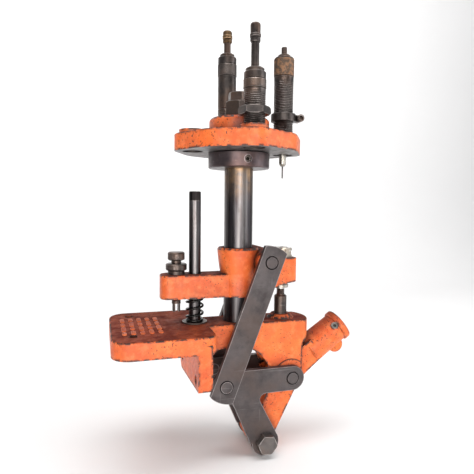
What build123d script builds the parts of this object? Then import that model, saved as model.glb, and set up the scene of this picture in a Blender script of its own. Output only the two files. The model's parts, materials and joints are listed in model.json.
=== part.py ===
from build123d import *
import math
import os

os.makedirs("parts", exist_ok=True)

# A bench press with a lever below, a sliding carrier on a round column, and a four-station
# turret on top. It is drawn with the column's axis as Z, the operator at +X, and Z = 0 at the
# underside of the bench plate. export() then moves every piece so that the origin is the
# middle of the bench seat. Millimetres throughout.

# ---- fits ---------------------------------------------------------------------------
RUNNING_CLEARANCE = 0.05      # radial, shafts that turn or slide in their bores
SIDE_GAP = 0.3                # between flat faces of pieces that move past each other

# ---- bench plate and flange -----------------------------------------------------------
PLATE_THICKNESS = 18.0
PLATE_HALF_WIDTH = 62.0
PLATE_REAR_X = -139.5
PLATE_FRONT_X = -37.0
PLATE_REAR_RADIUS = 19.0
PLATE_FRONT_RADIUS = 14.0
PLATE_EDGE_RADIUS = 2.5
PLATE_BOLT_R = 4.25
PLATE_BOLT_X = -118.0
PLATE_BOLT_HALF_SPACING = 41.0
FLANGE_THICKNESS = 14.5
FLANGE_FRONT_X = -43.2
FLANGE_LEFT_END_Y = 42.0
FLANGE_DROP_RIGHT = 37.0
FLANGE_DROP_LEFT = 45.0
FLANGE_CORNER_RADIUS = 10.0
FLANGE_HOLE_R = 4.5
FLANGE_HOLE_END_MARGIN = 13.5
FLANGE_HOLE_Z = -28.5
CAST_EDGE_RADIUS = 1.6

# ---- block, arch and lever slot ---------------------------------------------------------
BLOCK_WALL = 5.125              # beside the column's seat
BLOCK_NOSE_R = 31.0            # in plan, round the punch post
BLOCK_LIP_Z = 2.0
BLOCK_LIP_HEIGHT = 10.0
LEG_FRONT_X = 71.5
ARCH_REAR_X = -35.0
ARCH_CENTRE_X = -5.5
ARCH_CENTRE_Z = -48.0
ARCH_RADIUS = 39.8
ARCH_CORNER_RADIUS = 13.0
SLOT_HALF_WIDTH = 16.3
SLOT_CEILING_Z = -19.0
SLOT_CEILING_RISE = 20.5
EAR_RADIUS = 13.4
EAR_BOSS_RADIUS = 20.0
EAR_BOSS_HEIGHT = 1.0
POST_SEAT_RADIUS = 15.5
POST_SEAT_TOP_RADIUS = 11.0
POST_SEAT_HEIGHT = 4.5

# ---- column, collar and turret spindle ----------------------------------------------------
COLUMN_R = 15.875
COLUMN_FOOT_Z = -3.0
COLLAR_R = 33.8
COLLAR_BOTTOM_Z = 187.0
COLLAR_TOP_Z = 203.7
COLLAR_SCREW_R = 3.9
SPINDLE_R = 12.7
SPINDLE_THREAD_R = 7.9
TURRET_NUT_FLATS = 28.6
TURRET_NUT_HEIGHT = 17.8
JAM_NUT_FLATS = 22.2
JAM_NUT_HEIGHT = 10.0
INDEX_BALL_R = 3.0
INDEX_BALL_PROUD = 0.15
INDEX_CIRCLE_R = 24.0

# ---- guide rod, bumper spring and thumb screw ----------------------------------------------
GUIDE_ROD_X = -49.2
GUIDE_ROD_R = 6.5
GUIDE_ROD_TOP_Z = 161.3
GUIDE_ROD_FOOT_DEPTH = 30.0
GUIDE_ROD_FLAT_LENGTH = 10.0
GUIDE_ROD_FLAT_DEPTH = 1.4
WASHER_R = 13.5
WASHER_THICKNESS = 1.5
SPRING_OUTER_R = 10.1
SPRING_WIRE_R = 1.3
SPRING_TURNS = 3.0
SCREW_X = -69.6
SCREW_R = 4.9
SCREW_FORK_BOTTOM_Z = 31.5
SCREW_FORK_LENGTH = 8.5
SCREW_FORK_SLOT = 3.4
SCREW_FORK_FLAT = 1.1
SCREW_NECK_R = 5.3
SCREW_HEAD_R = 9.2
SCREW_HEAD_BOTTOM_Z = 87.2
SCREW_TOP_Z = 96.0
LOCK_RING_R = 11.5
LOCK_RING_SEAT_R = 9.0
LOCK_RING_SEAT_HEIGHT = 4.5
LOCK_RING_HEIGHT = 7.0

# ---- carrier ----------------------------------------------------------------------------
CARRIER_BOTTOM_Z = 46.5
ARM_TOP_Z = 72.0
ARM_HALF_WIDTH = 14.0
ARM_REAR_X = -87.0
ARM_REAR_RADIUS = 10.0
BARREL_WALL = 4.125             # round the column
BOWL_FLARE = 3.3
BOWL_TOP_Z = 100.0
EAR_TOP_Z = 88.0
EAR_FRONT_X = 66.3
EAR_FRONT_BOTTOM_Z = 61.0
EAR_KNEE_X = 45.0
EAR_KNEE_Z = 57.5
LINK_BOSS_R = 14.0

# ---- linkage ------------------------------------------------------------------------------
# Pivot B carries the lever, pivot A joins toggle plates and links, pivot C is on the carrier,
# and the bolt at E ties the toggle plates to the lever.
PIVOT_B_X = 57.0
PIVOT_B_Z = -46.0
PIVOT_A_X = -21.4
PIVOT_A_Z = -46.0
PIVOT_C_X = 27.8
PIVOT_C_Z = 85.5
PIVOT_E_X = 25.3
PIVOT_E_Z = -115.0
PIVOT_PIN_R = 6.35
PIN_HEAD_PROUD = 0.7
PIN_HOLE_CHAMFER = 1.3
TOGGLE_THICKNESS = 6.0
TOGGLE_ARM_R = 13.6
TOGGLE_FOOT_R = 15.5
TOGGLE_INNER_CORNER_R = 7.0
LINK_THICKNESS = 6.0
LINK_HALF_WIDTH = 13.0
LINK_REACH = 17.8             # from the pivot to the tip of the end
FAR_LINK_TOP_REACH = 14.0
LINK_END_CURVE_R = 30.0
LINK_CORNER_R = 0.6
TOGGLE_BOLT_FLATS = 19.6
TOGGLE_BOLT_HEAD = 9.4
TOGGLE_NUT_HEIGHT = 9.0
TOGGLE_BOLT_TAIL = 3.0

# Corners of the toggle plate's leg, from under the level arm down to the foot at E, as X and Z.
TOGGLE_LEG_CORNERS = ((-14.0, -50.0), (18.2, -50.0), (18.2, -67.5), (40.4, -110.6), (7.8, -115.0), (-12.7, -67.3))

# ---- lever casting --------------------------------------------------------------------------
LEVER_HALF_WIDTH = 15.0
LEVER_HUB_R = 16.0
LEVER_FOOT_R = 14.5
LEVER_WEB_END_R = 13.0
WEB_HEEL_X = 60.5             # underside of the web where it leaves the hub
WEB_HEEL_Z = -61.5
SOCKET_ANGLE = 35.1           # degrees above +X, on a line through pivot B
SOCKET_ROOT = 37.0            # distances from pivot B along the socket
SOCKET_LENGTH = 89.0
SOCKET_ROOT_R = 17.6
SOCKET_R = 16.8
SOCKET_RIM_R = 18.6
SOCKET_RIM_LENGTH = 8.0
SOCKET_BORE_R = 9.6
SOCKET_BORE_DEPTH = 45.0
SOCKET_LUG_R = 9.5
SOCKET_LUG_ALONG = 68.5
SOCKET_LUG_OFFSET = 14.8
SOCKET_LUG_HALF_WIDTH = 7.5
SOCKET_SCREW_R = 4.0
SOCKET_SCREW_ALONG = 78.5
SOCKET_SCREW_TILT = 33.0      # degrees above the socket's mid-plane

# ---- turret ---------------------------------------------------------------------------------
TURRET_BOTTOM_Z = 204.0
TURRET_RIM_TOP_Z = 222.0
STATION_RADIUS = 52.0
STATION_CORNER_R = 19.5
RIM_BETWEEN_R = 66.0
RIM_BETWEEN_CURVE_R = 42.0
STATION_PAD_R = 14.5
STATION_PAD_HEIGHT = 4.5
STATION_THREAD_R = 11.1
HUB_R = 33.0
HUB_TOP_Z = 241.0
HUB_EDGE_RADIUS = 4.5

# ---- dies -----------------------------------------------------------------------------------
DIE_CAVITY_R = 6.6
DIE_CAVITY_TOP_Z = 246.0
DIE_KNURL_PROUD = 0.35
DIE_NECK_GROOVE = 0.5
LOCK_RING_FLATS = 28.4
STEM_R = 4.05
STEM_FOOT_Z = 236.0
RIGHT_STEM_R = 3.2

FRONT_THREAD_TOP_Z = 261.6
FRONT_KNURL_TOP_Z = 270.3
FRONT_BODY_TOP_Z = 278.0
FRONT_CAP_R = 9.4
FRONT_CAP_TOP_Z = 282.0
FRONT_RING_LOW_Z = 236.2
FRONT_STEM_TOP_Z = 306.5
FRONT_KNOB_R = 5.6
FRONT_KNOB_WAIST_Z = 314.0
FRONT_KNOB_TOP_Z = 325.6
HEX_RING_HEIGHT = 7.6

BACK_THREAD_TOP_Z = 262.0
BACK_KNURL_LOW_Z = 300.5
BACK_KNURL_TOP_Z = 314.0
BACK_BODY_TOP_Z = 322.8
BACK_CAP_R = 8.6
BACK_CAP_TOP_Z = 327.0
BACK_STEM_TOP_Z = 339.5
BACK_KNOB_R = 6.0
BACK_KNOB_WAIST_Z = 348.0
BACK_KNOB_TOP_Z = 354.3

RIGHT_THREAD_TOP_Z = 291.4
RIGHT_KNURL_TOP_Z = 310.1
RIGHT_BODY_TOP_Z = 312.0
RIGHT_CAP_R = 7.2
RIGHT_CAP_TOP_Z = 315.6
RIGHT_STEM_TOP_Z = 323.8
RIGHT_RING_LOW_Z = 241.0
RIGHT_RING_HIGH_Z = 250.0
RIGHT_RING_R = 14.0
RING_SCREW_R = 4.2
RING_SCREW_HEAD = 5.4
RING_SCREW_OFFSET = 17.8
RING_LUG_HALF_WIDTH = 4.5
CHUCK_R = 4.05
CHUCK_BOTTOM_Z = 191.4
CHUCK_TOP_Z = 205.5
KNOCKOUT_PIN_R = 0.9
KNOCKOUT_PIN_BOTTOM_Z = 177.8
SPLIT_WIDTH = 1.2
RING_LUG_REACH = 19.5


# ---- punch post and work holder ----------------------------------------------------------------
POST_R = 7.2
POST_SHOULDER_Z = 44.2
POST_TIP_R = 4.7
POST_TIP_Z = 51.2
POST_THREAD_R = 5.6
POST_FOOT_Z = -7.0
HOLDER_HEAD_R = 12.6
HOLDER_FLAT_HALF_WIDTH = 11.4
HOLDER_TOP_Z = 99.2
HOLDER_SLEEVE_R = 8.0
HOLDER_BOTTOM_Z = 52.2
HOLDER_BORE_R = 3.2
HOLDER_SLOT_WIDTH = 14.0
HOLDER_SLOT_HEIGHT = 4.6
HOLDER_SLOT_BOTTOM_Z = 91.0
HOLDER_MOUTH_WIDTH = 10.6
HOLDER_RING_R = 8.9
HOLDER_RING_THICKNESS = 3.8

# ---- values that follow from the ones above ------------------------------------------------------
FLANGE_REAR_X = FLANGE_FRONT_X - FLANGE_THICKNESS
SEAT_CENTRE_X = (PLATE_REAR_X + FLANGE_REAR_X) / 2
BLOCK_HALF_WIDTH = COLUMN_R + BLOCK_WALL
BARREL_R = COLUMN_R + BARREL_WALL
BOWL_R = BARREL_R + BOWL_FLARE
EAR_FACE_Y = BLOCK_HALF_WIDTH + EAR_BOSS_HEIGHT
TOGGLE_INNER_Y = EAR_FACE_Y + SIDE_GAP
TOGGLE_OUTER_Y = TOGGLE_INNER_Y + TOGGLE_THICKNESS
LINK_INNER_Y = TOGGLE_OUTER_Y + SIDE_GAP
LINK_OUTER_Y = LINK_INNER_Y + LINK_THICKNESS
TURRET_NUT_BOTTOM_Z = HUB_TOP_Z + SIDE_GAP
JAM_NUT_BOTTOM_Z = TURRET_NUT_BOTTOM_Z + TURRET_NUT_HEIGHT
LINK_LENGTH = math.hypot(PIVOT_A_X - PIVOT_C_X, PIVOT_A_Z - PIVOT_C_Z)
LINK_ANGLE = math.degrees(math.atan2(PIVOT_A_Z - PIVOT_C_Z, PIVOT_A_X - PIVOT_C_X))
PAD_TOP_Z = TURRET_RIM_TOP_Z + STATION_PAD_HEIGHT
RING_SEAT_Z = ARM_TOP_Z + LOCK_RING_SEAT_HEIGHT
RING_TOP_Z = RING_SEAT_Z + LOCK_RING_HEIGHT


# ---- helpers ---------------------------------------------------------------------------------
def upright(radius, z_low, z_high, x=0.0, y=0.0):
    """Cylinder along Z between two heights."""
    return Pos(x, y, (z_low + z_high) / 2) * Cylinder(radius, z_high - z_low)


def crosswise(radius, x, z, y_low, y_high):
    """Cylinder along Y between two sides."""
    middle = (y_low + y_high) / 2
    return Pos(x, middle, z) * Rot(90, 0, 0) * Cylinder(radius, y_high - y_low)


def side_plate(face, y_low, y_high):
    """Plate whose outline is drawn in X and Z, with its thickness along Y."""
    return extrude(Plane.XZ.offset(-y_high) * face, y_high - y_low)


def outline(*points):
    """Closed face through straight-sided corners."""
    return make_face(Polyline(*points, close=True))


def disc(radius, x, z):
    return Pos(x, z) * Circle(radius)


def stretched(*discs):
    """Face with a straight-sided band round several discs."""
    edges = ShapeList()
    for one in discs:
        edges.extend(one.edges())
    return make_hull(edges)


def turned(points, x=0.0, y=0.0):
    """Solid of revolution about the vertical line at x, y from (radius, height) corners."""
    face = Plane.XZ * outline(*points)
    return Pos(x, y, 0) * revolve(face, Axis.Z)


def hexagon(flats, z_low, z_high, x=0.0, y=0.0, angle=0.0):
    """Hexagonal prism with its corners bevelled top and bottom."""
    corner_r = flats / math.sqrt(3)
    bevel = (corner_r - flats / 2) * 0.75
    prism = extrude(RegularPolygon(flats / 2, 6, major_radius=False), z_high - z_low)
    prism = Pos(x, y, z_low) * Rot(0, 0, angle) * prism
    barrel = chamfer(upright(corner_r, z_low, z_high, x, y).edges().filter_by(GeomType.CIRCLE), bevel)
    return prism & barrel


def rounded_plan(x_low, x_high, half_width, z_low, z_high, rear_radius, front_radius):
    """Block with its four upright corners rounded in plan."""
    size = (x_high - x_low, 2 * half_width, z_high - z_low)
    block = Pos((x_low + x_high) / 2, 0, (z_low + z_high) / 2) * Box(*size)
    if rear_radius:
        block = fillet(block.edges().filter_by(Axis.Z).group_by(Axis.X)[0], rear_radius)
    if front_radius:
        block = fillet(block.edges().filter_by(Axis.Z).group_by(Axis.X)[-1], front_radius)
    return block


def soften(solid, radius, z):
    """Round the edges that lie in the level plane at height z."""
    level = solid.edges().filter_by_position(Axis.Z, z - 0.01, z + 0.01)
    return fillet(level, radius)


def coil(mean_r, wire_r, z_low, z_high, turns, x=0.0, y=0.0):
    """Compression spring with its ends cut flush between two heights."""
    height = z_high - z_low - 2 * wire_r
    path = Helix(pitch=height / turns, height=height, radius=mean_r)
    start = Plane(origin=path @ 0, z_dir=path % 0)
    wire = sweep(start * Circle(wire_r), path=path)
    return Pos(x, y, z_low + wire_r) * wire


def export(name, *solids):
    """Move one piece into the row's frame and write it."""
    moved = [Pos(-SEAT_CENTRE_X, 0, 0) * one for one in solids]
    shape = moved[0] if len(moved) == 1 else Compound(children=moved)
    export_step(shape, f"parts/{name}.step")


def along_socket(distance, offset=0.0):
    """Point in X and Z at a distance from pivot B along the socket, and offset above its axis."""
    angle = math.radians(SOCKET_ANGLE)
    x = PIVOT_B_X + distance * math.cos(angle) - offset * math.sin(angle)
    z = PIVOT_B_Z + distance * math.sin(angle) + offset * math.cos(angle)
    return x, z


def socket_solid(radius, start, end, end_radius=None):
    """Round or tapered stretch of the socket between two distances from pivot B."""
    length = end - start
    x, z = along_socket((start + end) / 2)
    shape = Cone(radius, end_radius, length) if end_radius else Cylinder(radius, length)
    return Pos(x, 0, z) * Rot(0, 90 - SOCKET_ANGLE, 0) * shape


# ---- base -----------------------------------------------------------------------------------
def bench_plate():
    plate = rounded_plan(PLATE_REAR_X, PLATE_FRONT_X, PLATE_HALF_WIDTH, 0, PLATE_THICKNESS,
                         PLATE_REAR_RADIUS, PLATE_FRONT_RADIUS)
    return soften(plate, PLATE_EDGE_RADIUS, PLATE_THICKNESS)


def bench_flange():
    root_z = PLATE_THICKNESS / 2
    corners = [(-PLATE_HALF_WIDTH, root_z), (-PLATE_HALF_WIDTH, -FLANGE_DROP_RIGHT),
               (FLANGE_LEFT_END_Y, -FLANGE_DROP_LEFT), (FLANGE_LEFT_END_Y, root_z)]
    face = outline(*corners)
    low_left = face.vertices().sort_by(Axis.Y)[0]
    face = fillet(low_left, FLANGE_CORNER_RADIUS)
    return extrude(Plane.YZ.offset(FLANGE_REAR_X) * face, FLANGE_THICKNESS)


def arch_face():
    """Opening under the block: square-shouldered at the rear, round on the lever's side."""
    floor_z = -2 * FLANGE_DROP_LEFT
    top_z = ARCH_CENTRE_Z + ARCH_RADIUS
    shoulder = outline((ARCH_REAR_X, floor_z), (ARCH_CENTRE_X, floor_z),
                       (ARCH_CENTRE_X, top_z), (ARCH_REAR_X, top_z))
    corner = shoulder.vertices().group_by(Axis.Y)[-1].sort_by(Axis.X)[0]
    shoulder = fillet(corner, ARCH_CORNER_RADIUS)
    below = outline((ARCH_CENTRE_X, floor_z), (ARCH_CENTRE_X + ARCH_RADIUS, floor_z),
                    (ARCH_CENTRE_X + ARCH_RADIUS, ARCH_CENTRE_Z), (ARCH_CENTRE_X, ARCH_CENTRE_Z))
    return shoulder + below + disc(ARCH_RADIUS, ARCH_CENTRE_X, ARCH_CENTRE_Z)


def block_outline():
    """Block over the arch and the leg down to the lever's pivot, seen from the side."""
    leg_rear_x = ARCH_CENTRE_X + ARCH_RADIUS * 0.9
    nose_x = STATION_RADIUS + BLOCK_NOSE_R
    body = outline((FLANGE_REAR_X, PLATE_THICKNESS), (nose_x, PLATE_THICKNESS), (nose_x, BLOCK_LIP_Z),
                   (LEG_FRONT_X, BLOCK_LIP_Z - BLOCK_LIP_HEIGHT), (PIVOT_B_X + EAR_RADIUS, PIVOT_B_Z),
                   (PIVOT_B_X, PIVOT_B_Z), (leg_rear_x, ARCH_CENTRE_Z + ARCH_RADIUS * 0.3),
                   (FLANGE_REAR_X, -FLANGE_DROP_RIGHT))
    heel = disc(0.5, leg_rear_x + 2, ARCH_CENTRE_Z + 4)
    leg = stretched(disc(EAR_RADIUS, PIVOT_B_X, PIVOT_B_Z), heel)
    return body + leg - arch_face()


def block_plan():
    """Block seen from above: straight sides, and a nose round the punch post."""
    straight_length = STATION_RADIUS - FLANGE_REAR_X
    straight = Pos((STATION_RADIUS + FLANGE_REAR_X) / 2, 0) * Rectangle(straight_length, 2 * BLOCK_HALF_WIDTH)
    strip = Pos(STATION_RADIUS, 0) * Rectangle(3 * BLOCK_NOSE_R, 2 * BLOCK_HALF_WIDTH)
    nose = Pos(STATION_RADIUS, 0) * Circle(BLOCK_NOSE_R) & strip
    return straight + nose


def lever_slot():
    """Slot through the leg for the lever casting, rising towards the front."""
    face = outline((ARCH_CENTRE_X + ARCH_RADIUS / 2, PIVOT_B_Z - 3 * EAR_RADIUS),
                   (ARCH_CENTRE_X + ARCH_RADIUS / 2, SLOT_CEILING_Z),
                   (PIVOT_B_X + 1, SLOT_CEILING_Z),
                   (STATION_RADIUS + BLOCK_NOSE_R + 7, SLOT_CEILING_Z + SLOT_CEILING_RISE),
                   (STATION_RADIUS + BLOCK_NOSE_R + 7, PIVOT_B_Z - 3 * EAR_RADIUS))
    return side_plate(face, -SLOT_HALF_WIDTH, SLOT_HALF_WIDTH)


def base_casting():
    depth = 6 * EAR_RADIUS
    envelope = Pos(0, 0, -depth) * extrude(block_plan(), depth + PLATE_THICKNESS)
    block = side_plate(block_outline(), -BLOCK_HALF_WIDTH, BLOCK_HALF_WIDTH) & envelope
    block = soften(block, CAST_EDGE_RADIUS, PLATE_THICKNESS)
    boss_face = disc(EAR_BOSS_RADIUS, PIVOT_B_X, PIVOT_B_Z) & block_outline()
    bosses = side_plate(boss_face, -EAR_FACE_Y, EAR_FACE_Y)
    seat = Pos(STATION_RADIUS, 0, PLATE_THICKNESS + POST_SEAT_HEIGHT / 2) * Cone(
        POST_SEAT_RADIUS, POST_SEAT_TOP_RADIUS, POST_SEAT_HEIGHT)
    body = bench_plate() + bench_flange() + block + bosses + seat
    body -= lever_slot()
    body -= upright(COLUMN_R, COLUMN_FOOT_Z, PLATE_THICKNESS + 1)
    body -= upright(GUIDE_ROD_R, PLATE_THICKNESS - GUIDE_ROD_FOOT_DEPTH, PLATE_THICKNESS + 1, GUIDE_ROD_X)
    body -= upright(POST_THREAD_R, POST_FOOT_Z, PLATE_THICKNESS + POST_SEAT_HEIGHT + 1, STATION_RADIUS)
    body -= crosswise(PIVOT_PIN_R + RUNNING_CLEARANCE, PIVOT_B_X, PIVOT_B_Z, -EAR_FACE_Y - 1, EAR_FACE_Y + 1)
    for y in (-PLATE_BOLT_HALF_SPACING, PLATE_BOLT_HALF_SPACING):
        body -= upright(PLATE_BOLT_R, -1, PLATE_THICKNESS + 1, PLATE_BOLT_X, y)
    for y in (-PLATE_HALF_WIDTH + FLANGE_HOLE_END_MARGIN, FLANGE_LEFT_END_Y - FLANGE_HOLE_END_MARGIN):
        middle_x = (FLANGE_REAR_X + FLANGE_FRONT_X) / 2
        body -= Pos(middle_x, y, FLANGE_HOLE_Z) * Rot(0, 90, 0) * Cylinder(FLANGE_HOLE_R, FLANGE_THICKNESS + 2)
    return body


def column():
    shaft = upright(COLUMN_R, COLUMN_FOOT_Z, COLLAR_TOP_Z)
    spindle = upright(SPINDLE_R, COLLAR_TOP_Z, HUB_TOP_Z)
    thread = upright(SPINDLE_THREAD_R, HUB_TOP_Z, JAM_NUT_BOTTOM_Z + JAM_NUT_HEIGHT - 2)
    return shaft + spindle + thread


def index_pocket_place():
    angle = math.radians(45)
    return INDEX_CIRCLE_R * math.cos(angle), INDEX_CIRCLE_R * math.sin(angle)


def turret_collar():
    ring = upright(COLLAR_R, COLLAR_BOTTOM_Z, COLLAR_TOP_Z)
    ring = chamfer(ring.edges().filter_by(GeomType.CIRCLE), 1.0)
    ring -= upright(COLUMN_R, COLLAR_BOTTOM_Z - 1, COLLAR_TOP_Z + 1)
    middle_z = (COLLAR_BOTTOM_Z + COLLAR_TOP_Z) / 2
    ring -= crosswise(COLLAR_SCREW_R, 0, middle_z, -COLLAR_R - 1, -COLUMN_R + 1)
    x, y = index_pocket_place()
    pocket_bottom = COLLAR_BOTTOM_Z + 3
    return ring - upright(INDEX_BALL_R + RUNNING_CLEARANCE, pocket_bottom, COLLAR_TOP_Z + 1, x, y)


def collar_set_screw():
    middle_z = (COLLAR_BOTTOM_Z + COLLAR_TOP_Z) / 2
    recess = 2.6
    screw = crosswise(COLLAR_SCREW_R, 0, middle_z, -COLLAR_R + recess, -COLUMN_R)
    socket = Pos(0, -COLLAR_R + recess, middle_z) * Rot(90, 0, 0) * extrude(
        RegularPolygon(COLLAR_SCREW_R / 2, 6, major_radius=False), 5, both=True)
    return (screw - socket) & crosswise(COLUMN_R * 4, 0, middle_z, -COLLAR_R, -COLUMN_R)


def index_ball():
    x, y = index_pocket_place()
    return Pos(x, y, COLLAR_TOP_Z + INDEX_BALL_PROUD - INDEX_BALL_R) * Sphere(INDEX_BALL_R)


def index_spring():
    x, y = index_pocket_place()
    top = COLLAR_TOP_Z + INDEX_BALL_PROUD - 2 * INDEX_BALL_R
    return coil(2.0, 0.35, COLLAR_BOTTOM_Z + 3, top, 5, x, y)


def guide_rod():
    rod = upright(GUIDE_ROD_R, PLATE_THICKNESS - GUIDE_ROD_FOOT_DEPTH, GUIDE_ROD_TOP_Z, GUIDE_ROD_X)
    rod = chamfer(rod.edges().filter_by(GeomType.CIRCLE).sort_by(Axis.Z)[-1], 0.8)
    for side in (-1, 1):
        inside = GUIDE_ROD_R - GUIDE_ROD_FLAT_DEPTH
        flat = Pos(GUIDE_ROD_X, side * (inside + 5), GUIDE_ROD_TOP_Z) * Box(30, 10, 2 * GUIDE_ROD_FLAT_LENGTH)
        rod -= flat
    return rod


def spring_washer():
    top = PLATE_THICKNESS + WASHER_THICKNESS
    disc_solid = upright(WASHER_R, PLATE_THICKNESS, top, GUIDE_ROD_X)
    return disc_solid - upright(GUIDE_ROD_R + 0.2, PLATE_THICKNESS - 1, top + 1, GUIDE_ROD_X)


def bumper_spring():
    low = PLATE_THICKNESS + WASHER_THICKNESS
    high = CARRIER_BOTTOM_Z - SIDE_GAP
    return coil(SPRING_OUTER_R - SPRING_WIRE_R, SPRING_WIRE_R, low, high, SPRING_TURNS, GUIDE_ROD_X)


def punch_post():
    seat_z = PLATE_THICKNESS + POST_SEAT_HEIGHT
    bevel = 1.6
    profile = [(0, POST_FOOT_Z), (POST_THREAD_R, POST_FOOT_Z), (POST_THREAD_R, seat_z),
               (POST_R, seat_z), (POST_R, POST_SHOULDER_Z - bevel), (POST_R - bevel, POST_SHOULDER_Z),
               (POST_TIP_R, POST_SHOULDER_Z), (POST_TIP_R, POST_TIP_Z - 0.8),
               (POST_TIP_R - 0.8, POST_TIP_Z), (0, POST_TIP_Z)]
    return turned(profile, STATION_RADIUS)


def turret_nut():
    top = TURRET_NUT_BOTTOM_Z + TURRET_NUT_HEIGHT
    nut = hexagon(TURRET_NUT_FLATS, TURRET_NUT_BOTTOM_Z, top, angle=12)
    return nut - upright(SPINDLE_THREAD_R, TURRET_NUT_BOTTOM_Z - 1, top + 1)


def turret_jam_nut():
    top = JAM_NUT_BOTTOM_Z + JAM_NUT_HEIGHT
    nut = hexagon(JAM_NUT_FLATS, JAM_NUT_BOTTOM_Z, top, angle=25)
    return nut - upright(SPINDLE_THREAD_R, JAM_NUT_BOTTOM_Z - 1, top + 1)


# ---- carrier ----------------------------------------------------------------------------------
def carrier_barrel():
    """Round barrel that opens into a bowl at the top."""
    wall = [Line((0, CARRIER_BOTTOM_Z), (BARREL_R, CARRIER_BOTTOM_Z)),
            Line((BARREL_R, CARRIER_BOTTOM_Z), (BARREL_R, ARM_TOP_Z)),
            ThreePointArc((BARREL_R, ARM_TOP_Z), (BARREL_R + 2.1, (ARM_TOP_Z + BOWL_TOP_Z) / 2),
                          (BOWL_R, BOWL_TOP_Z - 2)),
            Line((BOWL_R, BOWL_TOP_Z - 2), (BOWL_R - 1.2, BOWL_TOP_Z)),
            Line((BOWL_R - 1.2, BOWL_TOP_Z), (0, BOWL_TOP_Z)),
            Line((0, BOWL_TOP_Z), (0, CARRIER_BOTTOM_Z))]
    return revolve(Plane.XZ * make_face(wall), Axis.Z)


def carrier_casting():
    arm = rounded_plan(ARM_REAR_X, 0, ARM_HALF_WIDTH, CARRIER_BOTTOM_Z, ARM_TOP_Z, ARM_REAR_RADIUS, 0)
    arm = fillet(arm.edges().filter_by_position(Axis.Z, ARM_TOP_Z - 0.01, ARM_TOP_Z + 0.01).sort_by(Axis.X)[:-1],
                 CAST_EDGE_RADIUS)
    ear_face = outline((0, CARRIER_BOTTOM_Z), (BARREL_R + 4, CARRIER_BOTTOM_Z), (EAR_KNEE_X, EAR_KNEE_Z),
                       (EAR_FRONT_X, EAR_FRONT_BOTTOM_Z), (EAR_FRONT_X, EAR_TOP_Z), (0, EAR_TOP_Z))
    ear = side_plate(ear_face, -ARM_HALF_WIDTH, ARM_HALF_WIDTH)
    ear &= rounded_plan(-1, EAR_FRONT_X, ARM_HALF_WIDTH, 0, BOWL_TOP_Z, 0, 4.0)
    boss = crosswise(LINK_BOSS_R, PIVOT_C_X, PIVOT_C_Z, -TOGGLE_OUTER_Y, TOGGLE_OUTER_Y)
    boss = chamfer(boss.edges().filter_by(GeomType.CIRCLE), 0.8)
    body = arm + carrier_barrel() + ear + boss
    body -= upright(COLUMN_R + RUNNING_CLEARANCE, 0, 200)
    body -= upright(GUIDE_ROD_R + RUNNING_CLEARANCE, 0, 200, GUIDE_ROD_X)
    body -= upright(SCREW_R + RUNNING_CLEARANCE, 0, 200, SCREW_X)
    body -= upright(HOLDER_SLEEVE_R, 0, 200, STATION_RADIUS)
    body -= upright(HOLDER_HEAD_R + SIDE_GAP, EAR_TOP_Z, BOWL_TOP_Z + 1, STATION_RADIUS)
    body -= crosswise(PIVOT_PIN_R, PIVOT_C_X, PIVOT_C_Z, -40, 40)
    return body


def link_cross_pin():
    end = LINK_OUTER_Y + PIN_HEAD_PROUD
    pin = crosswise(PIVOT_PIN_R, PIVOT_C_X, PIVOT_C_Z, -end, end)
    return chamfer(pin.edges().filter_by(GeomType.CIRCLE), 0.6)


def work_holder():
    head = upright(HOLDER_HEAD_R, EAR_TOP_Z, HOLDER_TOP_Z, STATION_RADIUS)
    head = chamfer(head.edges().filter_by(GeomType.CIRCLE).sort_by(Axis.Z)[-1], 1.2)
    head &= Pos(STATION_RADIUS, 0, HOLDER_TOP_Z) * Rot(0, 0, 30) * Box(
        3 * HOLDER_HEAD_R, 2 * HOLDER_FLAT_HALF_WIDTH, 2 * HOLDER_TOP_Z)
    body = head + upright(HOLDER_SLEEVE_R, HOLDER_BOTTOM_Z, EAR_TOP_Z, STATION_RADIUS)
    slots = ((HOLDER_SLOT_WIDTH, HOLDER_SLOT_BOTTOM_Z, HOLDER_SLOT_BOTTOM_Z + HOLDER_SLOT_HEIGHT),
             (HOLDER_MOUTH_WIDTH, HOLDER_SLOT_BOTTOM_Z, HOLDER_TOP_Z + 1))
    for width, low, high in slots:
        middle_z = (low + high) / 2
        body -= upright(width / 2, low, high, STATION_RADIUS)
        body -= Pos(STATION_RADIUS + HOLDER_HEAD_R, 0, middle_z) * Box(2 * HOLDER_HEAD_R, width, high - low)
    return body - upright(HOLDER_BORE_R, 0, HOLDER_TOP_Z, STATION_RADIUS)


def holder_ring():
    """Snap ring on the holder's sleeve below the carrier's ear."""
    low = HOLDER_BOTTOM_Z + 0.6
    ring = upright(HOLDER_RING_R, low, low + HOLDER_RING_THICKNESS, STATION_RADIUS)
    ring = chamfer(ring.edges().filter_by(GeomType.CIRCLE), 0.5)
    return ring - upright(HOLDER_SLEEVE_R, 0, 200, STATION_RADIUS)


def screw_lock_ring():
    profile = [(SCREW_R + RUNNING_CLEARANCE, ARM_TOP_Z), (LOCK_RING_SEAT_R, ARM_TOP_Z),
               (LOCK_RING_SEAT_R, RING_SEAT_Z - 0.8), (LOCK_RING_R - 1, RING_SEAT_Z),
               (LOCK_RING_R, RING_SEAT_Z + 1), (LOCK_RING_R, RING_TOP_Z - 1),
               (LOCK_RING_R - 1, RING_TOP_Z), (SCREW_R + RUNNING_CLEARANCE, RING_TOP_Z)]
    return turned(profile, SCREW_X)


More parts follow.
